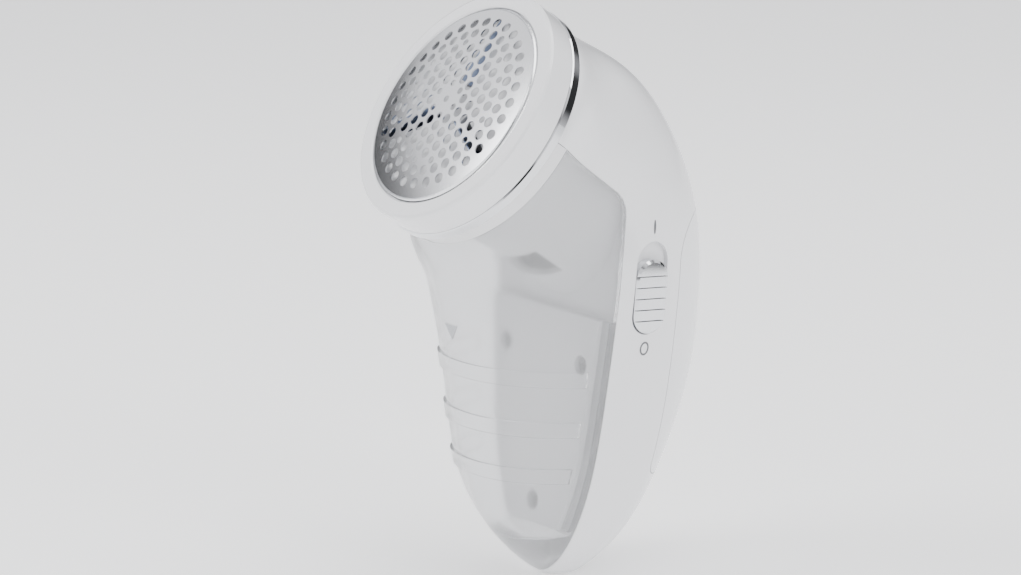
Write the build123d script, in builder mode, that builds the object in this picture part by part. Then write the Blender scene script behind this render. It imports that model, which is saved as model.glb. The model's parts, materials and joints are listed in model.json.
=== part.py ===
"""Battery fabric shaver: a round foil head on a leaning hand grip, with a lint bin in front of the grip.

Millimetres, +Z up. The foil looks towards -Y and upwards, the switch is on the +X side, and the
origin is on the ground under the middle of the object.

Three frames are used:
  HEAD       x to the right, y up the foil face, z out of the foil along the head axis
  HEAD_SIDE  x = s, back along the head axis from the foil plane; y = r, up the foil face
  GRIP_SIDE  x = q, back from the parting plane; y = h, up along the grip
"""

from build123d import *
import os
from math import atan2, cos, degrees, hypot, pi, radians, sin, sqrt, tan

os.makedirs("parts", exist_ok=True)

# ---------------------------------------------------------------- driving dimensions
TILT = 35.2            # the foil looks up by this angle
LEAN = 4.6             # the grip leans back by this angle
HEAD_Y = -28.5         # centre of the foil plane
HEAD_Z = 134.0
PART_Y = -1.5          # the parting plane of bin and casing meets the ground here
PART_CORNER = 8.0      # rounding where the parting line turns from the head into the grip
WALL = 2.0             # casing wall
BIN_WALL = 1.6         # lint bin wall
GAP = 0.2              # visible gap along a parting line
FIT = 0.15             # clearance of a part that sits inside the casing

RING_R = 34.0          # guard ring
RING_BACK = 8.0        # how far back the guard ring reaches
RING_BORE = 31.4
TRIM_R = 34.3          # bright trim ring
COLLAR_R = 33.2        # collar and front end of the casing
TRIM_BACK = 11.0       # back face of the trim ring
COLLAR_BACK = 15.0     # back face of the collar and of the bowl floor
SPIGOT_R = 31.1        # outside of the bowl
BOWL_R = 29.4          # inside of the bowl

FOIL_R = 28.8          # visible foil, outside of its turned-down rim
FOIL_RISE = 2.4        # the dome stands this far above the foil plane
FOIL_T = 0.4
HOLE_R = 1.42          # large hole
SMALL_HOLE_R = 0.97
HOLE_PITCH = 3.9
HOLE_TURN = 39.0       # direction of the inner hole rows
ROW_HOLES = 32         # holes in each of the two outer rows
ROW_RADII = (20.5, 24.0)
LEAD = 36.0            # the guard ring lifts this much in one full turn
PIN_S = 5.5            # distance of the bayonet pins behind the foil plane
PIN_R = 1.0

ROTOR_R = 27.0
MOTOR_R = 12.0
MOTOR_FRONT = 17.0
MOTOR_BACK = 43.0
SLEEVE_R = 14.0
SLEEVE_BORE = 12.2
SLEEVE_BACK = 48.0
DRUM_R = 25.5          # lint duct round the motor sleeve
DRUM_WALL = 1.8

SWITCH_Q = 10.7        # middle of the switch recess
SWITCH_H = 85.0
SWITCH_TRAVEL = 4.5
KNOB_L = 20.0
KNOB_W = 10.7
POCKET_X = 25.5        # floor of the switch recess

DOOR_Q = 22.3          # seam of the battery door
DOOR_LOW = 30.0
DOOR_HIGH = 104.0
CELL_R = 7.25
CELL_X = 7.5
CELL_Q = 24.6
CELL_BODY = 49.5


# Casing cross-sections from the head down: front y, z, back y, z, half width, superellipse power.
STATIONS = [
    (-34.4, 92.5, 8.8, 149.0, 31.3, 2.05),
    (-31.7, 85.0, 22.3, 141.5, 29.6, 2.12),
    (-29.7, 77.0, 35.0, 127.8, 28.6, 2.2),
    (-28.4, 69.0, 45.2, 106.3, 28.3, 2.2),
    (-26.9, 57.0, 48.4, 79.0, 27.0, 2.2),
    (-25.4, 43.0, 45.5, 54.5, 25.1, 2.2),
    (-21.6, 27.0, 38.0, 33.5, 21.8, 2.2),
    (-13.8, 13.5, 30.4, 17.5, 16.6, 2.15),
    (-5.0, 4.1, 21.8, 6.8, 10.5, 2.1),
    (2.2, -0.4, 14.2, 1.0, 5.2, 2.0),
]

# ---------------------------------------------------------------- frames
BETA = radians(TILT)
LAMBDA = radians(LEAN)
HEAD_POINT = (0, HEAD_Y, HEAD_Z)
HEAD = Plane(origin=HEAD_POINT, x_dir=(1, 0, 0), z_dir=(0, -cos(BETA), sin(BETA)))
HEAD_SIDE = Plane(origin=HEAD_POINT, x_dir=(0, cos(BETA), -sin(BETA)), z_dir=(1, 0, 0))
HEAD_AXIS = Axis(HEAD_POINT, (0, cos(BETA), -sin(BETA)))
GRIP_POINT = (0, PART_Y, 0)
GRIP_SIDE = Plane(origin=GRIP_POINT, x_dir=(0, cos(LAMBDA), -sin(LAMBDA)), z_dir=(1, 0, 0))
GRIP = Plane(origin=GRIP_POINT, x_dir=(1, 0, 0), z_dir=(0, sin(LAMBDA), cos(LAMBDA)))
FACE = Plane(origin=GRIP_POINT, x_dir=(1, 0, 0), z_dir=(0, -cos(LAMBDA), sin(LAMBDA)))


def side_point(s, r):
    """GRIP_SIDE coordinates of a point given in HEAD_SIDE coordinates."""
    y = HEAD_Y + s * cos(BETA) + r * sin(BETA) - PART_Y
    z = HEAD_Z - s * sin(BETA) + r * cos(BETA)
    return (y * cos(LAMBDA) - z * sin(LAMBDA), y * sin(LAMBDA) + z * cos(LAMBDA))


def dome_s(r):
    """How far the foil's outer face is behind the foil plane at radius r (negative: in front)."""
    return -FOIL_RISE + (FOIL_RISE - 0.2) * (r / 28.0) ** 2


def rim_points(half_width, half_depth, power, count=24):
    """Points round a superellipse."""
    points = []
    for k in range(count):
        c = cos(2 * pi * k / count)
        d = sin(2 * pi * k / count)
        x = half_width * abs(c) ** (2 / power) * (1 if c >= 0 else -1)
        y = half_depth * abs(d) ** (2 / power) * (1 if d >= 0 else -1)
        points.append((x, y))
    return points


def casing_form(inset, reach=0.0):
    """The outer form of the grip and head, drawn in by inset and longer at the head by reach."""
    # An inner form stops above the foot, which is solid.
    stations = STATIONS[:-2] if inset > 0 else STATIONS
    with BuildPart() as form:
        for s in (TRIM_BACK - reach, COLLAR_BACK):
            with BuildSketch(HEAD.offset(-s)):
                with BuildLine():
                    Spline(*rim_points(COLLAR_R - inset, COLLAR_R - inset, 2.0), periodic=True)
                make_face()
        for front_y, front_z, back_y, back_z, half_width, power in stations:
            run = back_y - front_y
            rise = back_z - front_z
            half_depth = hypot(run, rise) / 2
            middle = (0, (front_y + back_y) / 2, (front_z + back_z) / 2)
            with BuildSketch(Plane(origin=middle, x_dir=(1, 0, 0), z_dir=(0, -rise, run))):
                with BuildLine():
                    Spline(*rim_points(half_width - inset, half_depth - inset, power), periodic=True)
                make_face()
        loft()
        if inset <= 0:
            # Flat of the foot.
            split(bisect_by=Plane.XY, keep=Keep.TOP)
    return form.part


def bin_zone(back):
    """The space in front of and below the parting line, moved back by the given distance."""
    corner_s = -side_point(0, back)[0] / (side_point(1, back)[0] - side_point(0, back)[0])
    corner_s += back / (side_point(1, back)[0] - side_point(0, back)[0])
    with BuildPart() as zone:
        with BuildSketch(GRIP_SIDE):
            with BuildLine():
                start = side_point(-20, back)
                corner = side_point(corner_s, back)
                end = (back, -10)
                FilletPolyline(start, corner, end, radius=PART_CORNER - back)
                Polyline(end, (-90, -10), (-90, start[1]), start)
            make_face()
        extrude(amount=50, both=True)
    return zone.part


FORM = casing_form(0)
CAVITY = casing_form(WALL, reach=3)
BIN_CAVITY = casing_form(BIN_WALL, reach=3)
INSIDE = casing_form(WALL + FIT, reach=3)
ZONE = bin_zone(0)



def finish(piece, name):
    """Labels a finished piece and writes its file."""
    piece.part.label = name
    export_step(piece.part, "parts/" + name + ".step")


# ---------------------------------------------------------------- head: foil and guard ring
FLANGE_S = 1.6         # front face of the foil's flange
RETAINER_S = 2.05
SPIGOT_FRONT = 3.6

with BuildPart() as foil:
    with BuildSketch(HEAD_SIDE):
        with BuildLine():
            ThreePointArc((dome_s(0), 0), (dome_s(14), 14), (dome_s(28), 28))
            RadiusArc((dome_s(28), 28), (0.65, FOIL_R), -0.95)
            Polyline(
                (0.65, FOIL_R),
                (FLANGE_S, FOIL_R),
                (FLANGE_S, 31.2),
                (FLANGE_S + FOIL_T, 31.2),
                (FLANGE_S + FOIL_T, FOIL_R - FOIL_T),
                (0.75, FOIL_R - FOIL_T),
                (dome_s(27.6) + FOIL_T, 27.6),
            )
            ThreePointArc(
                (dome_s(27.6) + FOIL_T, 27.6), (dome_s(14) + FOIL_T, 14), (dome_s(0) + FOIL_T, 0)
            )
            Line((dome_s(0) + FOIL_T, 0), (dome_s(0), 0))
        make_face()
    revolve(axis=HEAD_AXIS)
    with BuildSketch(HEAD.offset(-1)):
        for row, radius in enumerate(ROW_RADII):
            with PolarLocations(radius, ROW_HOLES, start_angle=2 + row * 180 / ROW_HOLES):
                Circle(HOLE_R)
        Circle(SMALL_HOLE_R)
        for ring in range(1, 6):
            for step in range(ring):
                across = hypot(ring - step / 2, step * sqrt(3) / 2) * HOLE_PITCH
                turn = HOLE_TURN + degrees(atan2(step * sqrt(3) / 2, ring - step / 2))
                if ring == 5 and step == 0:
                    continue
                if ring == 1:
                    across = across * 1.22
                small = ring == 1 or (ring == 5 and step in (1, 4))
                with PolarLocations(across, 6, start_angle=turn):
                    Circle(SMALL_HOLE_R if small else HOLE_R)
    extrude(amount=8, mode=Mode.SUBTRACT)
finish(foil, "foil")

with BuildPart() as foil_retainer:
    with BuildSketch(HEAD_SIDE):
        with BuildLine():
            Polyline(
                (RETAINER_S, 28.7), (RETAINER_S, 31.25), (3.3, 31.25), (3.3, 28.1), (2.5, 28.1), (RETAINER_S, 28.7)
            )
        make_face()
    revolve(axis=HEAD_AXIS)
finish(foil_retainer, "foil_retainer")

GROOVE_RISE = RING_BACK + 1.3 - (PIN_S - 0.6)

with BuildPart() as groove:
    with BuildLine():
        thread = Helix(pitch=LEAD, height=GROOVE_RISE, radius=31.9)
    with BuildSketch(Plane(origin=thread @ 0, z_dir=thread % 0)):
        Circle(1.35)
    sweep(is_frenet=True)

GROOVE_START = -(RING_BACK + 1.3 - PIN_S) / LEAD * 360

with BuildPart() as guard_ring:
    with BuildSketch(HEAD_SIDE):
        with BuildLine():
            Polyline(
                (0.35, 29.1), (0, 29.5), (0, 33.0), (0.3, 33.6), (0.9, RING_R), (RING_BACK, RING_R),
                (RING_BACK, RING_BORE), (FLANGE_S - 0.05, RING_BORE), (FLANGE_S - 0.05, 29.1), (0.35, 29.1),
            )
        make_face()
    revolve(axis=HEAD_AXIS)
    with Locations(HEAD.offset(-RING_BACK - 1.3).location):
        with PolarLocations(0, 3, start_angle=30 + GROOVE_START):
            add(groove.part, mode=Mode.SUBTRACT)
finish(guard_ring, "guard_ring")

with BuildPart() as trim_ring:
    with BuildSketch(HEAD_SIDE):
        with BuildLine():
            Polyline(
                (8.15, SPIGOT_R), (8.15, TRIM_R - 0.3), (8.45, TRIM_R), (10.65, TRIM_R),
                (10.95, TRIM_R - 0.3), (10.95, SPIGOT_R), (8.15, SPIGOT_R),
            )
        make_face()
    revolve(axis=HEAD_AXIS)
finish(trim_ring, "trim_ring")

# ---------------------------------------------------------------- cutter housing
FLOOR_S = 13.4         # inner face of the bowl floor
HOUSING_SCREW_R = 27.2
HOUSING_SCREW_TURNS = (35, 145)

with BuildPart() as cutter_housing:
    with BuildSketch(HEAD_SIDE):
        with BuildLine():
            Polyline(
                (SPIGOT_FRONT, BOWL_R), (SPIGOT_FRONT, SPIGOT_R), (COLLAR_BACK, SPIGOT_R),
                (COLLAR_BACK, SLEEVE_R), (SLEEVE_BACK, SLEEVE_R), (SLEEVE_BACK, SLEEVE_BORE),
                (MOTOR_FRONT, SLEEVE_BORE), (MOTOR_FRONT, 3.1), (FLOOR_S, 3.1), (FLOOR_S, BOWL_R),
                (SPIGOT_FRONT, BOWL_R),
            )
        make_face()
    revolve(axis=HEAD_AXIS)
    # Visible half of the collar, below the casing's edge.
    with BuildSketch(HEAD.offset(-COLLAR_BACK)):
        Circle(COLLAR_R)
        Circle(SPIGOT_R - 0.5, mode=Mode.SUBTRACT)
        with Locations((0, -0.1)):
            Rectangle(80, 40, align=(Align.CENTER, Align.MIN), mode=Mode.SUBTRACT)
    extrude(amount=COLLAR_BACK - TRIM_BACK)
    # Three bayonet pins that run in the guard ring's grooves.
    with Locations(HEAD.offset(-PIN_S).location):
        with PolarLocations(SPIGOT_R + 0.3, 3, start_angle=30):
            Cylinder(PIN_R, 1.6, rotation=(0, 90, 0))
    # Lint opening in the lower half of the floor.
    with BuildSketch(HEAD.offset(-COLLAR_BACK - 1)):
        SlotArc(CenterArc((0, 0), 19.2, 218, 104), height=7.0)
    extrude(amount=4, mode=Mode.SUBTRACT)
    # Screw holes for the motor and the casing.
    with Locations(HEAD.offset(-MOTOR_FRONT).location):
        with Locations((7.5, 0, 0), (-7.5, 0, 0)):
            Cylinder(1.1, 10, mode=Mode.SUBTRACT)
        for turn in HOUSING_SCREW_TURNS:
            with PolarLocations(HOUSING_SCREW_R, 1, start_angle=turn):
                Cylinder(1.3, 10, mode=Mode.SUBTRACT)
finish(cutter_housing, "cutter_housing")

with BuildPart() as shaft_seal:
    with BuildSketch(HEAD.offset(-15.2)):
        Circle(3.05)
        Circle(1.08, mode=Mode.SUBTRACT)
    extrude(amount=1.5)
finish(shaft_seal, "shaft_seal")

# ---------------------------------------------------------------- rotor
with BuildPart() as blade_hub:
    with BuildSketch(HEAD.offset(-3.8)):
        Circle(ROTOR_R)
        with PolarLocations(18, 3, start_angle=90):
            Rectangle(24, 2.6, mode=Mode.SUBTRACT)
    extrude(amount=2.0)
    with BuildSketch(HEAD.offset(-9.5)):
        Circle(5.2)
    extrude(amount=8.6)
    with BuildSketch(HEAD.offset(-9.5)):
        RegularPolygon(2.6, 6)
    extrude(amount=5.5, mode=Mode.SUBTRACT)
finish(blade_hub, "blade_hub")

BLADE_IN = 6.3
BLADE_OUT = 26.3
BLADE_CLEAR = FOIL_T + 0.25

for number, turn in enumerate((90, 210, 330), start=1):
    edge = (cos(radians(turn)), sin(radians(turn)), 0)
    blade_plane = Plane(
        origin=HEAD.from_local_coords((1.0 * edge[1], -1.0 * edge[0], 0)),
        x_dir=HEAD.from_local_coords(edge) - Vector(HEAD_POINT),
        z_dir=HEAD.from_local_coords((edge[1], -edge[0], 0)) - Vector(HEAD_POINT),
    )
    with BuildPart() as blade:
        with BuildSketch(blade_plane):
            with BuildLine():
                inner_top = (BLADE_IN, -dome_s(BLADE_IN) - BLADE_CLEAR)
                outer_top = (BLADE_OUT, -dome_s(BLADE_OUT) - BLADE_CLEAR)
                ThreePointArc(inner_top, (16, -dome_s(16) - BLADE_CLEAR), outer_top)
                Polyline(outer_top, (BLADE_OUT, -4.4), (BLADE_IN, -4.4), inner_top)
            make_face()
        extrude(amount=0.3)
    finish(blade, "cutter_blade_" + str(number))

with BuildPart() as drive_coupling:
    with BuildSketch(HEAD.offset(-12.6)):
        Circle(4.6)
    extrude(amount=0.8)
    with BuildSketch(HEAD.offset(-12.6)):
        RegularPolygon(2.5, 6)
    extrude(amount=8.2)
    with BuildSketch(HEAD.offset(-12.6)):
        Circle(1.0)
    extrude(amount=6.0, mode=Mode.SUBTRACT)
finish(drive_coupling, "drive_coupling")

with BuildPart() as blade_spring:
    with BuildLine():
        coil = Helix(pitch=0.62, height=1.5, radius=3.6)
    with BuildSketch(Plane(origin=coil @ 0, z_dir=coil % 0)):
        Circle(0.25)
    sweep(is_frenet=True)
blade_spring.part.locate(HEAD.offset(-11.45).location)
finish(blade_spring, "blade_spring")

with BuildPart() as motor_shaft:
    with BuildSketch(HEAD.offset(-45)):
        Circle(1.0)
    extrude(amount=45 - 6.8)
finish(motor_shaft, "motor_shaft")

# ---------------------------------------------------------------- motor
with BuildPart() as motor_can:
    with BuildSketch(HEAD_SIDE):
        with BuildLine():
            Polyline(
                (15.4, 1.1), (15.4, 2.95), (MOTOR_FRONT, 2.95), (MOTOR_FRONT, MOTOR_R - 0.8),
                (MOTOR_FRONT + 0.8, MOTOR_R), (MOTOR_BACK, MOTOR_R), (MOTOR_BACK, 1.1), (15.4, 1.1),
            )
        make_face()
    revolve(axis=HEAD_AXIS)
    with Locations(HEAD.offset(-MOTOR_FRONT - 1.5).location):
        with Locations((7.5, 0, 0), (-7.5, 0, 0)):
            Cylinder(1.0, 3.2, mode=Mode.SUBTRACT)
finish(motor_can, "motor_can")

with BuildPart() as motor_end_cap:
    with BuildSketch(HEAD.offset(-MOTOR_BACK - 2.2)):
        Circle(MOTOR_R - 0.2)
        Circle(3.0, mode=Mode.SUBTRACT)
        with Locations((6.0, 0), (-6.0, 0)):
            Rectangle(0.6, 3.0, mode=Mode.SUBTRACT)
    extrude(amount=2.2)
finish(motor_end_cap, "motor_end_cap")

with BuildPart() as motor_bearing:
    with BuildSketch(HEAD.offset(-MOTOR_BACK - 2.6)):
        Circle(2.95)
        Circle(1.04, mode=Mode.SUBTRACT)
    extrude(amount=2.6)
finish(motor_bearing, "motor_bearing")

with BuildPart() as motor_terminals:
    with BuildSketch(HEAD.offset(-MOTOR_BACK - 4.6)):
        with Locations((6.0, 0), (-6.0, 0)):
            Rectangle(0.5, 2.8)
    extrude(amount=4.5)
finish(motor_terminals, "motor_terminals")

with BuildPart() as motor_cover:
    with BuildSketch(HEAD.offset(-SLEEVE_BACK - 1.8)):
        Circle(SLEEVE_R)
        with Locations((0, 7.5)):
            SlotOverall(15, 5, mode=Mode.SUBTRACT)
    extrude(amount=1.7)
    with BuildSketch(HEAD.offset(-SLEEVE_BACK - 0.1)):
        Circle(SLEEVE_BORE - 0.1)
        Circle(SLEEVE_BORE - 1.3, mode=Mode.SUBTRACT)
    extrude(amount=2.1)
finish(motor_cover, "motor_cover")

with BuildPart() as motor_screws:
    with BuildSketch(HEAD.offset(-MOTOR_FRONT - 2.8)):
        with Locations((7.5, 0), (-7.5, 0)):
            Circle(0.95)
    extrude(amount=MOTOR_FRONT + 2.8 - FLOOR_S)
    with BuildSketch(HEAD.offset(-FLOOR_S)):
        with Locations((7.5, 0), (-7.5, 0)):
            Circle(1.9)
    extrude(amount=1.1)
    with BuildSketch(HEAD.offset(-FLOOR_S + 1.1)):
        with Locations((7.5, 0), (-7.5, 0)):
            Rectangle(2.4, 0.5)
            Rectangle(0.5, 2.4)
    extrude(amount=-0.6, mode=Mode.SUBTRACT)
finish(motor_screws, "motor_screws")

with BuildPart() as housing_screws:
    for turn in HOUSING_SCREW_TURNS:
        with BuildSketch(HEAD.offset(-24)):
            with PolarLocations(HOUSING_SCREW_R, 1, start_angle=turn):
                Circle(1.2)
        extrude(amount=24 - FLOOR_S)
        with BuildSketch(HEAD.offset(-FLOOR_S)):
            with PolarLocations(HOUSING_SCREW_R, 1, start_angle=turn):
                Circle(2.0)
        extrude(amount=1.2)
finish(housing_screws, "housing_screws")

# ---------------------------------------------------------------- casing and frame
SCREW_SPOTS = ((17, 63), (-17, 63), (0, 22))    # x and h of the frame screws
PLATE = 2.0                                     # thickness of the frame plate
POCKET_L = KNOB_L + SWITCH_TRAVEL + 0.8
POCKET_W = KNOB_W + 0.8
STEM_W = 3.0
STEM_L = 6.0
HINGE_Q = 32.0         # the battery door turns about this line
HINGE_H = 30.0
DOOR_NOTCH = 2.8
HINGE_R = 2.2
KNUCKLE = 5.0          # half length of the door's knuckle


def door_zone(gap):
    """The space behind the battery door's seam, smaller by gap."""
    with BuildPart() as zone:
        with BuildSketch(GRIP_SIDE):
            with BuildLine():
                low = DOOR_LOW + gap
                high = DOOR_HIGH - gap
                Polyline((80, low), (DOOR_Q + gap + 4, low))
                JernArc((DOOR_Q + gap + 4, low), (-1, 0), 4, -90)
                Line((DOOR_Q + gap, low + 4), (DOOR_Q + gap, high - 13))
                JernArc((DOOR_Q + gap, high - 13), (0, 1), 13, -90)
                Polyline((DOOR_Q + gap + 13, high), (80, high), (80, low))
            make_face()
        extrude(amount=50, both=True)
    return zone.part


SWITCH_PLANE = Plane(
    origin=GRIP_SIDE.from_local_coords((SWITCH_Q, SWITCH_H, 0)), x_dir=GRIP_SIDE.x_dir, z_dir=(1, 0, 0)
)

with BuildPart() as shell_bosses:
    # Bosses for the cutter housing, each on a rib from the wall.
    for turn in HOUSING_SCREW_TURNS:
        with BuildSketch(HEAD.offset(-25)):
            with PolarLocations(HOUSING_SCREW_R, 1, start_angle=turn):
                Circle(2.9)
            with PolarLocations(HOUSING_SCREW_R + 2.3, 1, start_angle=turn):
                Rectangle(4.6, 3.0)
        extrude(amount=25 - COLLAR_BACK - 0.05)
    # Bosses for the frame, on ribs from the side walls and from the back wall.
    for x, h in SCREW_SPOTS:
        with BuildSketch(FACE.offset(-PLATE - 0.25 - GAP)):
            with Locations((x, h)):
                Circle(3.0)
            if x:
                with Locations((x + 5 * x / abs(x), h)):
                    Rectangle(10, 2.0)
        extrude(amount=-12 if x else -31)
    # Thick pad behind the switch recess.
    with BuildSketch(SWITCH_PLANE.offset(POCKET_X - 2.2)):
        RectangleRounded(POCKET_W + 3, POCKET_L + 4, 3)
    extrude(amount=3)
    add(casing_form(0.5), mode=Mode.INTERSECT)

with BuildPart() as casing_wall:
    add(FORM)
    add(CAVITY, mode=Mode.SUBTRACT)

with BuildPart() as rear_shell:
    add(casing_wall.part)
    add(ZONE, mode=Mode.SUBTRACT)
    add(shell_bosses.part)
    # Posts for the switch body's screws.
    with BuildSketch(SWITCH_PLANE.offset(20.6)):
        with Locations((0, 14.8), (0, -14.8)):
            RectangleRounded(5, 4.4, 1)
    extrude(amount=3.2)
    with BuildSketch(SWITCH_PLANE.offset(POCKET_X)):
        SlotOverall(POCKET_L, POCKET_W, rotation=90)
    extrude(amount=8, mode=Mode.SUBTRACT)
    with BuildSketch(SWITCH_PLANE.offset(20)):
        Rectangle(STEM_W + 0.6, STEM_L + SWITCH_TRAVEL + 0.8)
    extrude(amount=8, mode=Mode.SUBTRACT)
    with BuildSketch(SWITCH_PLANE.offset(20)):
        with Locations((0, 14.8), (0, -14.8)):
            Circle(0.8)
    extrude(amount=3.6, mode=Mode.SUBTRACT)
    # Screw holes.
    for turn in HOUSING_SCREW_TURNS:
        with BuildSketch(HEAD.offset(-24.3)):
            with PolarLocations(HOUSING_SCREW_R, 1, start_angle=turn):
                Circle(1.22)
        extrude(amount=12, mode=Mode.SUBTRACT)
    with BuildSketch(FACE):
        for x, h in SCREW_SPOTS:
            with Locations((x, h)):
                Circle(1.22)
    extrude(amount=-12, mode=Mode.SUBTRACT)
    # Opening for the battery door and notch for its knuckle.
    add(door_zone(0), mode=Mode.SUBTRACT)
    with BuildSketch(GRIP_SIDE):
        with Locations((HINGE_Q, HINGE_H)):
            Circle(HINGE_R + GAP)
    extrude(amount=16, both=True, mode=Mode.SUBTRACT)
    # Notch under the door, where its lower edge comes down when it opens.
    with BuildSketch(GRIP_SIDE):
        with Locations((HINGE_Q + 2.2, HINGE_H + GAP)):
            Rectangle(6, DOOR_NOTCH, align=(Align.MIN, Align.MAX))
    extrude(amount=7.5, both=True, mode=Mode.SUBTRACT)
    # Lugs that hold the ends of the door's knuckle.
    for side in (1, -1):
        with BuildSketch(GRIP_SIDE.offset(side * (KNUCKLE + 0.3))):
            with Locations((HINGE_Q - 1.1, HINGE_H - 2.7)):
                Rectangle(1.4, 5.4)
            with Locations((HINGE_Q, HINGE_H)):
                Circle(1.5)
                Circle(0.9, mode=Mode.SUBTRACT)
        extrude(amount=side * 2.4)
finish(rear_shell, "rear_shell")

def grip_slab(low, high):
    """Everything between two heights of the grip."""
    with BuildPart() as slab:
        with BuildSketch(GRIP.offset(low)):
            Rectangle(140, 140)
        extrude(amount=high - low)
    return slab.part


# The frame's front panel is a tee in section: the bin's flange runs between its lip and the plate.
PANEL_LOW = 16.0
PANEL_HIGH = 76.0
FLANGE_T = 1.2
LIP_FRONT = 2.9
LIP_BACK = 1.7
LIP_INSET = 4.0
NECK_INSET = 5.2
FLANGE_INSET = 4.6
BIN_ZONE = bin_zone(-GAP)
DRUM_PLANE = Plane(
    origin=HEAD.offset(-COLLAR_BACK - 0.1).origin, x_dir=(1, 0, 0), z_dir=(0, cos(BETA), -sin(BETA))
)

with BuildPart() as drum:
    with BuildSketch(DRUM_PLANE):
        Circle(DRUM_R)
    extrude(amount=60)
    add(bin_zone(GAP + 0.5), mode=Mode.INTERSECT)

with BuildPart() as drum_space:
    with BuildSketch(DRUM_PLANE.offset(-1)):
        Circle(DRUM_R - DRUM_WALL)
    extrude(amount=62)
    add(bin_zone(GAP), mode=Mode.INTERSECT)

with BuildPart() as panel_neck:
    add(casing_form(NECK_INSET))
    add(bin_zone(GAP + 0.5), mode=Mode.INTERSECT)
    add(bin_zone(-LIP_BACK), mode=Mode.SUBTRACT)
    add(grip_slab(PANEL_LOW, PANEL_HIGH), mode=Mode.INTERSECT)

with BuildPart() as panel_lip:
    add(casing_form(LIP_INSET))
    add(bin_zone(-LIP_BACK), mode=Mode.INTERSECT)
    add(bin_zone(-LIP_FRONT), mode=Mode.SUBTRACT)
    add(grip_slab(PANEL_LOW, PANEL_HIGH), mode=Mode.INTERSECT)

with BuildPart() as front_frame:
    add(INSIDE)
    add(bin_zone(GAP), mode=Mode.SUBTRACT)
    add(bin_zone(GAP + PLATE), mode=Mode.INTERSECT)
    split(bisect_by=HEAD.offset(-COLLAR_BACK - 0.1), keep=Keep.BOTTOM)
    add(drum.part)
    add(panel_neck.part)
    add(panel_lip.part)
    add(drum_space.part, mode=Mode.SUBTRACT)
    # Passage of the motor sleeve.
    with BuildSketch(DRUM_PLANE):
        Circle(SLEEVE_R + FIT)
    extrude(amount=70, mode=Mode.SUBTRACT)
    # Mouth of the lint duct, in the bottom of the drum.
    with BuildSketch(HEAD_SIDE):
        with Locations((42, -25)):
            Rectangle(11, 10)
    extrude(amount=13, both=True, mode=Mode.SUBTRACT)
    # Screw holes with counterbores.
    with BuildSketch(FACE.offset(8)):
        for x, h in SCREW_SPOTS:
            with Locations((x, h)):
                Circle(2.6)
    extrude(amount=-7.8, mode=Mode.SUBTRACT)
    with BuildSketch(FACE.offset(8)):
        for x, h in SCREW_SPOTS:
            with Locations((x, h)):
                Circle(1.3)
    extrude(amount=-12, mode=Mode.SUBTRACT)
finish(front_frame, "front_frame")

with BuildPart() as frame_screws:
    for x, h in SCREW_SPOTS:
        with BuildSketch(FACE.offset(GAP)):
            with Locations((x, h)):
                Circle(2.3)
        extrude(amount=1.4)
        with BuildSketch(FACE.offset(GAP)):
            with Locations((x, h)):
                Circle(1.2)
        extrude(amount=-11)
        with BuildSketch(FACE.offset(GAP + 1.4)):
            with Locations((x, h)):
                Rectangle(2.8, 0.6)
                Rectangle(0.6, 2.8)
        extrude(amount=-0.7, mode=Mode.SUBTRACT)
finish(frame_screws, "frame_screws")

# ---------------------------------------------------------------- lint bin
RIDGE_HEIGHTS = (60.8, 46.8, 33.6)
RIDGE_T = 4.2
RIDGE_PROUD = 0.7
MARK_H = 70.5

with BuildPart() as bin_ridges:
    add(casing_form(-RIDGE_PROUD))
    add(BIN_CAVITY, mode=Mode.SUBTRACT)
    add(bin_zone(-7), mode=Mode.INTERSECT)
    with BuildSketch(GRIP_SIDE):
        for h in RIDGE_HEIGHTS:
            with Locations((-30, h)):
                Rectangle(60, RIDGE_T)
    extrude(amount=45, both=True, mode=Mode.INTERSECT)

with BuildPart() as bin_mark:
    with BuildSketch(FACE.offset(20)):
        with BuildLine():
            Polyline((-2.8, MARK_H + 2), (2.8, MARK_H + 2), (0, MARK_H - 2), (-2.8, MARK_H + 2))
        make_face()
    extrude(amount=20)
    add(casing_form(-0.3), mode=Mode.INTERSECT)
    add(BIN_CAVITY, mode=Mode.SUBTRACT)

with BuildPart() as bin_flange:
    add(FORM)
    add(casing_form(FLANGE_INSET), mode=Mode.SUBTRACT)
    add(BIN_ZONE, mode=Mode.INTERSECT)
    add(bin_zone(-GAP - FLANGE_T), mode=Mode.SUBTRACT)
    add(grip_slab(PANEL_LOW, PANEL_HIGH), mode=Mode.INTERSECT)

with BuildPart() as lint_bin:
    add(FORM)
    add(BIN_CAVITY, mode=Mode.SUBTRACT)
    add(BIN_ZONE, mode=Mode.INTERSECT)
    add(bin_ridges.part)
    add(bin_mark.part)
    add(bin_flange.part)
    split(bisect_by=HEAD.offset(-COLLAR_BACK - GAP), keep=Keep.BOTTOM)
finish(lint_bin, "lint_bin")

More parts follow.
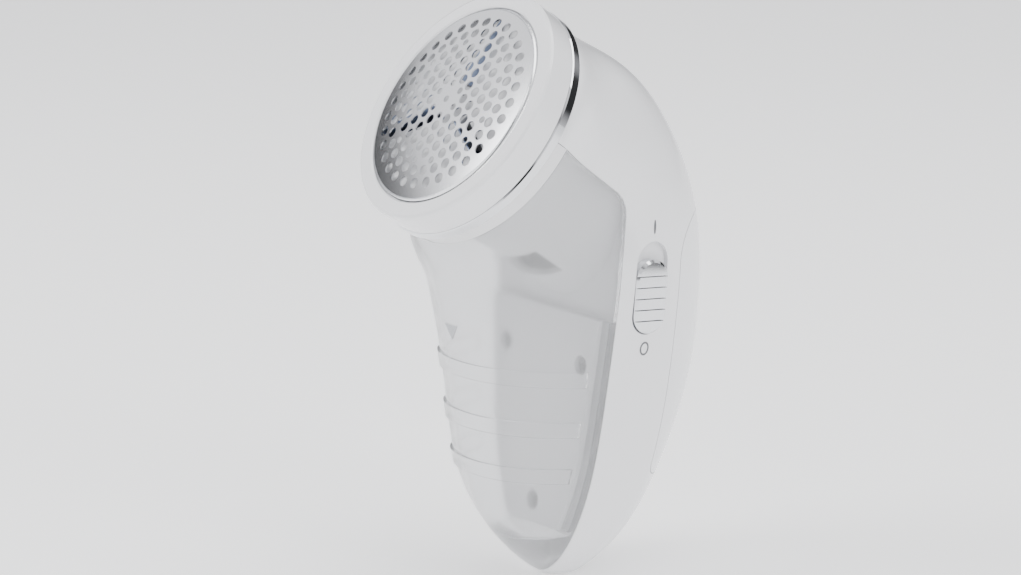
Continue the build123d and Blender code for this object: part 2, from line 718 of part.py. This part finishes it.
# ---------------------------------------------------------------- battery door, tray, cells and contacts
with BuildPart() as battery_door:
    add(casing_wall.part)
    add(door_zone(GAP), mode=Mode.INTERSECT)
    # The lower edge is rounded about the hinge line, so that it turns in the casing's groove.
    with BuildSketch(GRIP_SIDE):
        with Locations((HINGE_Q, HINGE_H - 1)):
            Rectangle(6, HINGE_R + 1, align=(Align.MIN, Align.MIN))
        with Locations((HINGE_Q, HINGE_H)):
            Circle(HINGE_R, mode=Mode.SUBTRACT)
    extrude(amount=20, both=True, mode=Mode.SUBTRACT)
    # Room for the casing's lugs.
    with BuildSketch(GRIP_SIDE):
        with Locations((HINGE_Q, HINGE_H)):
            Circle(1.75)
    extrude(amount=KNUCKLE + 3, both=True, mode=Mode.SUBTRACT)
    # Knuckle with its two stub ends.
    with BuildSketch(GRIP_SIDE):
        with Locations((HINGE_Q, HINGE_H)):
            Circle(1.6)
        with Locations((HINGE_Q - 1.6, HINGE_H)):
            Rectangle(2.6, 4.5, align=(Align.MIN, Align.MIN))
    extrude(amount=KNUCKLE, both=True)
    with BuildSketch(GRIP_SIDE):
        with Locations((HINGE_Q, HINGE_H)):
            Circle(0.8)
    extrude(amount=KNUCKLE + 2.2, both=True)
    # Grip lines for the thumb near the top.
    with BuildSketch(GRIP_SIDE):
        for h in (90, 93, 96):
            with Locations((45, h)):
                Rectangle(8.6, 0.9)
    extrude(amount=8, both=True, mode=Mode.SUBTRACT)
finish(battery_door, "battery_door")

TRAY_LOW = 33.5
TRAY_HIGH = 94.0
TRAY_END = 1.9
TRAY_FRONT = 15.0
TRAY_HALF = 14.9
CONTACT_T = 0.4
TAB_Q = 21.0
LOW_CONTACT = TRAY_LOW + TRAY_END + 0.05
HIGH_CONTACT = TRAY_HIGH - TRAY_END - 0.05 - CONTACT_T

with BuildPart() as battery_tray:
    with BuildSketch(GRIP.offset(TRAY_LOW)):
        with Locations((0, TRAY_FRONT)):
            Rectangle(2 * TRAY_HALF, CELL_Q - TRAY_FRONT, align=(Align.CENTER, Align.MIN))
        with Locations((0, CELL_Q)):
            Rectangle(24, 4.0, align=(Align.CENTER, Align.MIN))
    extrude(amount=TRAY_HIGH - TRAY_LOW)
    with BuildSketch(GRIP.offset(TRAY_LOW + TRAY_END)):
        with Locations((CELL_X, CELL_Q), (-CELL_X, CELL_Q)):
            Circle(CELL_R + FIT)
        with Locations((0, CELL_Q)):
            Rectangle(40, 8, align=(Align.CENTER, Align.MIN))
    extrude(amount=TRAY_HIGH - TRAY_LOW - 2 * TRAY_END, mode=Mode.SUBTRACT)
    # Room for the bridge contact between the two troughs.
    with BuildSketch(GRIP.offset(TRAY_LOW + TRAY_END)):
        with Locations((0, TAB_Q - 0.6)):
            Rectangle(26, 12, align=(Align.CENTER, Align.MIN))
    extrude(amount=2.2, mode=Mode.SUBTRACT)
    # Slots for the contact tabs.
    with BuildSketch(GRIP.offset(TRAY_HIGH - TRAY_END - 1)):
        with Locations((CELL_X, TAB_Q), (-CELL_X, TAB_Q)):
            Rectangle(3.0, 0.8)
    extrude(amount=4, mode=Mode.SUBTRACT)
    # Lower corners cut back for the side walls of the opening door.
    for side in (1, -1):
        with BuildSketch(GRIP_SIDE.offset(side * 10.4)):
            with Locations((28.2, 33.2)):
                Rectangle(3.2, 3.4)
        extrude(amount=side * 6, mode=Mode.SUBTRACT)
finish(battery_tray, "battery_tray")

for name, x, base, up in (("battery_cell_1", -CELL_X, 39.5, True), ("battery_cell_2", CELL_X, 38.0, False)):
    with BuildPart() as cell:
        with BuildSketch(GRIP.offset(base)):
            with Locations((x, CELL_Q)):
                Circle(CELL_R)
        extrude(amount=CELL_BODY)
        chamfer(cell.edges().filter_by(GeomType.CIRCLE), 0.4)
        with BuildSketch(GRIP.offset(base + CELL_BODY if up else base - 1)):
            with Locations((x, CELL_Q)):
                Circle(2.75)
        extrude(amount=1)
    finish(cell, name)

with BuildPart() as contact_positive:
    with BuildSketch(GRIP.offset(HIGH_CONTACT)):
        with Locations((-CELL_X, TAB_Q - 0.2)):
            Rectangle(10, 8, align=(Align.CENTER, Align.MIN))
    extrude(amount=CONTACT_T)
    with BuildSketch(GRIP.offset(HIGH_CONTACT)):
        with Locations((-CELL_X, CELL_Q)):
            Circle(2.6)
    extrude(amount=-1.5)
    with BuildSketch(GRIP.offset(HIGH_CONTACT)):
        with Locations((-CELL_X, TAB_Q)):
            Rectangle(2.4, 0.4)
    extrude(amount=5.5)
finish(contact_positive, "contact_positive")

with BuildPart() as contact_negative:
    with BuildSketch(GRIP.offset(HIGH_CONTACT)):
        with Locations((CELL_X, TAB_Q - 0.2)):
            Rectangle(10, 8, align=(Align.CENTER, Align.MIN))
    extrude(amount=CONTACT_T)
    with BuildSketch(GRIP.offset(HIGH_CONTACT)):
        with Locations((CELL_X, TAB_Q)):
            Rectangle(2.4, 0.4)
    extrude(amount=5.5)
finish(contact_negative, "contact_negative")

with BuildPart() as contact_bridge:
    with BuildSketch(GRIP.offset(LOW_CONTACT)):
        with Locations((0, TAB_Q)):
            Rectangle(25, 8, align=(Align.CENTER, Align.MIN))
    extrude(amount=CONTACT_T)
    with BuildSketch(GRIP.offset(LOW_CONTACT)):
        with Locations((CELL_X, CELL_Q)):
            Circle(2.6)
    extrude(amount=1.5)
finish(contact_bridge, "contact_bridge")

for name, x, base in (("spring_lower", -CELL_X, LOW_CONTACT + CONTACT_T + 0.3), ("spring_upper", CELL_X, 87.85)):
    with BuildPart() as spring:
        with BuildLine():
            turns = Helix(pitch=1.1, height=3.0, radius=3.4)
        with BuildSketch(Plane(origin=turns @ 0, z_dir=turns % 0)):
            Circle(0.3)
        sweep(is_frenet=True)
    spring.part.locate(GRIP.location * Location((x, CELL_Q, base)))
    finish(spring, name)

# ---------------------------------------------------------------- switch
OFF_H = -SWITCH_TRAVEL / 2
KNOB_TOP = 28.6
RIB_PITCH = 3.0

with BuildPart() as switch_knob:
    with BuildSketch(SWITCH_PLANE.offset(POCKET_X + 0.1)):
        with Locations((0, OFF_H)):
            SlotOverall(KNOB_L, KNOB_W, rotation=90)
    extrude(amount=KNOB_TOP - POCKET_X - 0.1)
    chamfer(switch_knob.faces().sort_by(Axis.X)[-1].edges(), 0.7)
    with BuildSketch(SWITCH_PLANE.offset(KNOB_TOP)):
        for k in range(-2, 3):
            with Locations((0, OFF_H + k * RIB_PITCH)):
                Rectangle(12, 1.1)
    extrude(amount=-0.6, mode=Mode.SUBTRACT)
    with BuildSketch(SWITCH_PLANE.offset(POCKET_X)):
        with Locations((0, OFF_H)):
            Rectangle(STEM_W, STEM_L)
    extrude(amount=1.6, mode=Mode.SUBTRACT)
finish(switch_knob, "switch_knob")

with BuildPart() as switch_slider:
    with BuildSketch(SWITCH_PLANE.offset(21.9)):
        with Locations((0, OFF_H)):
            RectangleRounded(8.5, 12, 1)
            Rectangle(2.2, 2.2, mode=Mode.SUBTRACT)
    extrude(amount=1.2)
    with BuildSketch(SWITCH_PLANE.offset(23.1)):
        with Locations((0, OFF_H)):
            Rectangle(STEM_W, STEM_L)
    extrude(amount=POCKET_X + 1.6 - 23.1)
finish(switch_slider, "switch_slider")

with BuildPart() as switch_lever:
    with BuildSketch(SWITCH_PLANE.offset(17.9)):
        with Locations((0, OFF_H)):
            Rectangle(2.0, 2.0)
    extrude(amount=4.8)
finish(switch_lever, "switch_lever")

with BuildPart() as switch_body:
    with BuildSketch(SWITCH_PLANE.offset(16.5)):
        RectangleRounded(7.4, 20, 0.5)
    extrude(amount=4.6)
    with BuildSketch(SWITCH_PLANE.offset(19.8)):
        RectangleRounded(5.4, 34, 1.5)
    extrude(amount=0.75)
    with BuildSketch(SWITCH_PLANE.offset(17.6)):
        Rectangle(2.5, 2.5 + SWITCH_TRAVEL)
    extrude(amount=6, mode=Mode.SUBTRACT)
    with BuildSketch(SWITCH_PLANE.offset(19)):
        with Locations((0, 14.8), (0, -14.8)):
            Circle(0.9)
    extrude(amount=3, mode=Mode.SUBTRACT)
finish(switch_body, "switch_body")

with BuildPart() as switch_terminals:
    with BuildSketch(SWITCH_PLANE.offset(13.4)):
        with Locations((0, -6), (0, 0), (0, 6)):
            Rectangle(2.0, 0.5)
    extrude(amount=3.05)
finish(switch_terminals, "switch_terminals")

with BuildPart() as switch_screws:
    with BuildSketch(SWITCH_PLANE.offset(18.6)):
        with Locations((0, 14.8), (0, -14.8)):
            Circle(1.7)
    extrude(amount=1.15)
    with BuildSketch(SWITCH_PLANE.offset(19.7)):
        with Locations((0, 14.8), (0, -14.8)):
            Circle(0.78)
    extrude(amount=3.4)
finish(switch_screws, "switch_screws")


# ---------------------------------------------------------------- wires
def grip_point(x, q, h):
    return GRIP.from_local_coords((x, q, h))


def head_point(x, r, s):
    return HEAD.from_local_coords((x, r, -s))


WIRES = {
    "wire_black": [
        head_point(6.95, 0.5, 46.6), head_point(6.6, 4.5, 46.9), head_point(4.4, 7.5, 49.2),
        head_point(5.0, 9.0, 54), grip_point(9.5, 16, 104), grip_point(8.0, TAB_Q - 0.9, 95.8),
    ],
    "wire_red": [
        grip_point(-8.0, TAB_Q - 0.9, 95.8), grip_point(-8, 16, 101), grip_point(4, 9, 101),
        grip_point(12.6, 8.8, 96), grip_point(14.6, 10.7, 91.9),
    ],
    "wire_motor": [
        head_point(-6.95, 0.5, 46.6), head_point(-6.6, 4.5, 46.9), head_point(-4.4, 7.5, 49.2),
        head_point(-3, 9.0, 54), grip_point(3, 12.5, 97), grip_point(12.4, 11.5, 91),
        grip_point(14.6, 10.7, 85.9),
    ],
}

for name, points in WIRES.items():
    with BuildPart() as wire:
        with BuildLine():
            path = Spline(*points)
        with BuildSketch(Plane(origin=path @ 0, z_dir=path % 0)):
            Circle(0.6)
        sweep()
    finish(wire, name)
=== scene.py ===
"""Looks of the fabric shaver: materials, printed marks, floor, light and camera."""
import json
import math

import bpy
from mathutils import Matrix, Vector
from mathutils.bvhtree import BVHTree


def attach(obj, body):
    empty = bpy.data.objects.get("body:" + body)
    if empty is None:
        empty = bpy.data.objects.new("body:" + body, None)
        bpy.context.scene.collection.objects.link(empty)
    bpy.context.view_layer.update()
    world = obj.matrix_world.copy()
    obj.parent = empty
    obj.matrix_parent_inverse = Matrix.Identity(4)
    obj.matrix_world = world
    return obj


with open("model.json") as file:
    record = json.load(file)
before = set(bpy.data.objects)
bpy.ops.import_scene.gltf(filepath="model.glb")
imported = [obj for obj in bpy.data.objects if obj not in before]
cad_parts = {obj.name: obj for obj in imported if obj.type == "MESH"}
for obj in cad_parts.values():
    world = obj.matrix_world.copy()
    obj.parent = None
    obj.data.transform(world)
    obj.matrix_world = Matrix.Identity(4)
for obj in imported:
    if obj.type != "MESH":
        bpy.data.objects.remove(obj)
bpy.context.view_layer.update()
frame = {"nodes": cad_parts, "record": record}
nodes = frame["nodes"]

LEAN = math.radians(4.6)            # the grip leans back by this angle
PART_Y = -0.0015                    # the parting plane of bin and casing meets the ground here
INWARD = Vector((0, math.cos(LEAN), -math.sin(LEAN)))


def grip_point(x, q, h):
    """A point of the grip: q behind the parting plane and h up the grip."""
    y = PART_Y + q * math.cos(LEAN) + h * math.sin(LEAN)
    return Vector((x, y, h * math.cos(LEAN) - q * math.sin(LEAN)))


def add_object(name, data):
    """A new object in the scene that holds the given data."""
    made = bpy.data.objects.new(name, data)
    bpy.context.scene.collection.objects.link(made)
    return made


def look_along(item, direction, axis):
    """Turns an object so that one of its axes points along a direction, with its Y axis up."""
    item.rotation_mode = "QUATERNION"
    item.rotation_quaternion = direction.to_track_quat(axis, "Y")


# ---------------------------------------------------------------- materials
BROAD_SCALE = 35.0                  # scale of the slow change in colour
ROUGH_SPREAD = 0.15                 # roughness varies by this share each way
RELIEF = 0.0001                     # height of the surface grain at full strength


def noise(tree, place, scale, detail=2.0):
    """A noise texture over the object's own coordinates."""
    made = tree.nodes.new("ShaderNodeTexNoise")
    made.inputs["Scale"].default_value = scale
    made.inputs["Detail"].default_value = detail
    tree.links.new(place.outputs["Object"], made.inputs["Vector"])
    return made


def material(name, color, rough, metal=0.0, grain=600.0, bump=0.05, mottle=0.03, **extra):
    """A principled material whose colour, roughness and surface vary a little with noise."""
    made = bpy.data.materials.new(name)
    made.use_nodes = True
    tree = made.node_tree
    shader = tree.nodes["Principled BSDF"]
    place = tree.nodes.new("ShaderNodeTexCoord")
    fine = noise(tree, place, grain, detail=3.0)
    broad = noise(tree, place, BROAD_SCALE)

    tone = tree.nodes.new("ShaderNodeMix")
    tone.data_type = "RGBA"
    tone.inputs["A"].default_value = (*[c * (1 - mottle) for c in color], 1)
    tone.inputs["B"].default_value = (*color, 1)
    tree.links.new(broad.outputs["Fac"], tone.inputs["Factor"])
    tree.links.new(tone.outputs["Result"], shader.inputs["Base Color"])

    gloss = tree.nodes.new("ShaderNodeMapRange")
    gloss.inputs["To Min"].default_value = rough * (1 - ROUGH_SPREAD)
    gloss.inputs["To Max"].default_value = rough * (1 + ROUGH_SPREAD)
    tree.links.new(fine.outputs["Fac"], gloss.inputs["Value"])
    tree.links.new(gloss.outputs["Result"], shader.inputs["Roughness"])

    relief = tree.nodes.new("ShaderNodeBump")
    relief.inputs["Strength"].default_value = bump
    relief.inputs["Distance"].default_value = RELIEF
    tree.links.new(fine.outputs["Fac"], relief.inputs["Height"])
    tree.links.new(relief.outputs["Normal"], shader.inputs["Normal"])

    shader.inputs["Metallic"].default_value = metal
    for key, value in extra.items():
        shader.inputs[key.replace("_", " ")].default_value = value
    return made


METAL = 1.0

# Each material slot with its colour, roughness and, for metals, METAL.
FINISH = {
    "white_gloss": material(
        "white_gloss", (0.82, 0.82, 0.835), 0.16, bump=0.02, Coat_Weight=0.5, Coat_Roughness=0.08
    ),
    "white_satin": material("white_satin", (0.78, 0.78, 0.79), 0.38, grain=900),
    "foil_steel": material("foil_steel", (0.88, 0.89, 0.91), 0.2, METAL, grain=1500, bump=0.03),
    "chrome": material("chrome", (0.74, 0.75, 0.77), 0.07, METAL, bump=0.0, mottle=0.01),
    "felt": material("felt", (0.11, 0.1, 0.1), 0.95, grain=2500, bump=0.8),
    "blade_steel": material("blade_steel", (0.3, 0.36, 0.5), 0.2, METAL, grain=1800),
    "grey_plastic": material("grey_plastic", (0.2, 0.21, 0.22), 0.45),
    "spring_steel": material("spring_steel", (0.5, 0.51, 0.53), 0.3, METAL),
    "motor_steel": material("motor_steel", (0.55, 0.57, 0.59), 0.35, METAL, grain=1200),
    "dark_plastic": material("dark_plastic", (0.02, 0.02, 0.022), 0.42),
    "brass": material("brass", (0.7, 0.5, 0.2), 0.28, METAL),
    "screw_steel": material("screw_steel", (0.3, 0.3, 0.31), 0.35, METAL),
    "cell_wrap": material("cell_wrap", (0.03, 0.12, 0.1), 0.25, Coat_Weight=0.4),
    "nickel": material("nickel", (0.68, 0.66, 0.62), 0.25, METAL),
    "wire_black": material("wire_black", (0.012, 0.012, 0.013), 0.5),
    "wire_red": material("wire_red", (0.45, 0.02, 0.015), 0.45),
    "frosted": material(
        "frosted", (0.95, 0.955, 0.965), 0.2, grain=1400, bump=0.04, mottle=0.01,
        Transmission_Weight=0.86, IOR=1.22, Coat_Weight=0.3, Coat_Roughness=0.1,
    ),
}
DARK_PRINT = material("mark_print", (0.12, 0.12, 0.13), 0.5)
PALE_PRINT = material("pale_print", (0.42, 0.43, 0.45), 0.5)

slots = {part["node"]: part["material_slot"] for part in frame["record"]["subparts"]}
for name, node in nodes.items():
    node.data.materials.clear()
    node.data.materials.append(FINISH[slots[name]])

# ---------------------------------------------------------------- printed marks
PRINT_LIFT = 0.00004                # middle of the print above the surface
PRINT_THICKNESS = 0.00006
CLEAR = 0.06                        # a ray starts this far out, clear of the casing and the bin
SWITCH_Q = 0.0107                   # middle of the switch
OVAL_POINTS = 32


def skin_of(node):
    """The surface of a piece, ready for rays."""
    mesh = node.data
    places = [vertex.co for vertex in mesh.vertices]
    return BVHTree.FromPolygons(places, [list(face.vertices) for face in mesh.polygons])


def print_at(skin, start, direction):
    """The point of a print where a ray meets the surface."""
    hit, normal, _, _ = skin.ray_cast(start, direction)
    return hit + normal * PRINT_LIFT


def printed(name, verts, faces, ink, body):
    """A thin printed mark that rides on a body."""
    mesh = bpy.data.meshes.new(name)
    mesh.from_pydata(verts, [], faces)
    mesh.materials.append(ink)
    mark = add_object(name, mesh)
    depth = mark.modifiers.new("thickness", "SOLIDIFY")
    depth.thickness = PRINT_THICKNESS
    depth.offset = 0.0
    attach(mark, body)


def printed_oval(name, h, outer, inner):
    """An oval outline on the side of the casing, h up the grip, between two half sizes."""
    skin = skin_of(nodes["rear_shell"])
    verts = []
    for half_q, half_h in (outer, inner):
        for i in range(OVAL_POINTS):
            turn = 2 * math.pi * i / OVAL_POINTS
            start = grip_point(CLEAR, SWITCH_Q + half_q * math.cos(turn), h + half_h * math.sin(turn))
            verts.append(print_at(skin, start, Vector((-1, 0, 0))))
    faces = []
    for i in range(OVAL_POINTS):
        after = (i + 1) % OVAL_POINTS
        faces.append((i, after, OVAL_POINTS + after, OVAL_POINTS + i))
    printed(name, verts, faces, DARK_PRINT, "grip")


def printed_arrow(name, half, top, tip, rows=8):
    """A triangle on the front of the bin, pointing down from top to tip, in heights up the grip."""
    skin = skin_of(nodes["lint_bin"])
    verts, faces = [], []
    for row in range(rows + 1):
        h = top + (tip - top) * row / rows
        reach = half * (1 - row / rows)
        for column in range(rows + 1):
            start = grip_point(reach * (2 * column / rows - 1), -CLEAR, h)
            verts.append(print_at(skin, start, INWARD))
    for row in range(rows):
        for column in range(rows):
            corner = row * (rows + 1) + column
            faces.append((corner, corner + 1, corner + rows + 2, corner + rows + 1))
    printed(name, verts, faces, PALE_PRINT, "bin")


printed_arrow("mark_arrow", 0.0026, 0.0724, 0.0686)
printed_oval("mark_off", 0.0685, outer=(0.0016, 0.0019), inner=(0.0011, 0.0014))
# So narrow that its outline closes to a bar.
printed_oval("mark_on", 0.1015, outer=(0.0004, 0.0019), inner=(0.00002, 0.0014))

# ---------------------------------------------------------------- floor
FLOOR_SIZE = 8.0
FLOOR_GLOW = 0.45

bpy.ops.mesh.primitive_plane_add(size=FLOOR_SIZE, location=(0, 0, 0))
floor = bpy.context.object
floor.name = "floor"
floor.data.materials.append(material(
    "floor", (0.9, 0.9, 0.905), 0.7, grain=60, bump=0.01, mottle=0.01,
    Emission_Color=(1, 1, 1, 1), Emission_Strength=FLOOR_GLOW,
))

# ---------------------------------------------------------------- surroundings
PLAIN_COLOR = (0.96, 0.97, 1.0, 1)
PLAIN_STRENGTH = 1.15
BAND_STRENGTH = 1.25
BAND_BLUE = 1.03                    # the bands are slightly blue
BELOW = (0.5, 0.5, 0.52, 1)
ABOVE = (1.0, 1.0, 1.0, 1)
# Brightness of each band edge; its place runs from 0 straight down to 1 straight up.
BANDS = ((0.5, 0.55), (0.56, 0.03), (0.66, 0.04), (0.7, 1.0), (0.84, 1.0), (0.88, 0.25), (0.93, 0.9))


def band_background(tree):
    """A background with dark and bright bands one above the other."""
    direction = tree.nodes.new("ShaderNodeTexCoord")
    axes = tree.nodes.new("ShaderNodeSeparateXYZ")
    tree.links.new(direction.outputs["Generated"], axes.inputs["Vector"])
    rise = tree.nodes.new("ShaderNodeMapRange")
    rise.inputs["From Min"].default_value = -1.0
    tree.links.new(axes.outputs["Z"], rise.inputs["Value"])
    ramp = tree.nodes.new("ShaderNodeValToRGB")
    tree.links.new(rise.outputs["Result"], ramp.inputs["Fac"])
    stops = ramp.color_ramp.elements
    stops[0].color = BELOW
    stops[1].color = ABOVE
    for place, value in BANDS:
        stops.new(place).color = (value, value, value * BAND_BLUE, 1)
    made = tree.nodes.new("ShaderNodeBackground")
    made.inputs["Strength"].default_value = BAND_STRENGTH
    tree.links.new(ramp.outputs["Color"], made.inputs["Color"])
    return made


# Reflections see the bands, and everything else gets the plain light.
world = bpy.data.worlds.new("studio")
bpy.context.scene.world = world
world.use_nodes = True
tree = world.node_tree
plain = tree.nodes["Background"]
plain.inputs["Color"].default_value = PLAIN_COLOR
plain.inputs["Strength"].default_value = PLAIN_STRENGTH
rays = tree.nodes.new("ShaderNodeLightPath")
choose = tree.nodes.new("ShaderNodeMixShader")
tree.links.new(rays.outputs["Is Glossy Ray"], choose.inputs["Fac"])
tree.links.new(plain.outputs["Background"], choose.inputs[1])
tree.links.new(band_background(tree).outputs["Background"], choose.inputs[2])
tree.links.new(choose.outputs["Shader"], tree.nodes["World Output"].inputs["Surface"])

# ---------------------------------------------------------------- lamps and dark card
LIT_POINT = Vector((0, 0, 0.09))    # the lamps point here
CARD_FACES = Vector((-0.79, -0.57, 0.15))


def lamp(name, place, size, power):
    """A rectangular lamp that points at the object."""
    data = bpy.data.lights.new(name, "AREA")
    data.shape = "RECTANGLE"
    data.size, data.size_y = size
    data.energy = power
    made = add_object(name, data)
    made.location = place
    look_along(made, LIT_POINT - Vector(place), "-Z")


lamp("key", (-0.45, -0.85, 0.85), (0.5, 0.5), 9)
lamp("side", (0.95, 0.2, 0.5), (0.3, 0.8), 3.5)
lamp("top", (0.1, 0.2, 1.2), (0.8, 0.8), 8)

# A dark card beside the switch that only reflections see.
bpy.ops.mesh.primitive_plane_add(size=1, location=(0.24, 0.17, 0.045))
card = bpy.context.object
card.name = "dark_card"
card.scale = (0.075, 0.028, 1)
look_along(card, CARD_FACES, "Z")
card.data.materials.append(material("card", (0.015, 0.015, 0.018), 0.9, bump=0.0))
card.visible_camera = False
card.visible_diffuse = False
card.visible_shadow = False
card.visible_transmission = False

# ---------------------------------------------------------------- camera
AIM = Vector((0, -0.00999, 0.08242))
TOWARDS = Vector((0.7916, -0.5682, 0.2250))     # from the point of aim to the camera
DISTANCE = 0.7

camera_data = bpy.data.cameras.new("camera")
camera_data.sensor_width = 36.0
camera_data.lens = 92.07
camera_data.clip_start = 0.01
camera = add_object("camera", camera_data)
camera.location = AIM + TOWARDS * DISTANCE
look_along(camera, -TOWARDS, "-Z")
bpy.context.scene.camera = camera
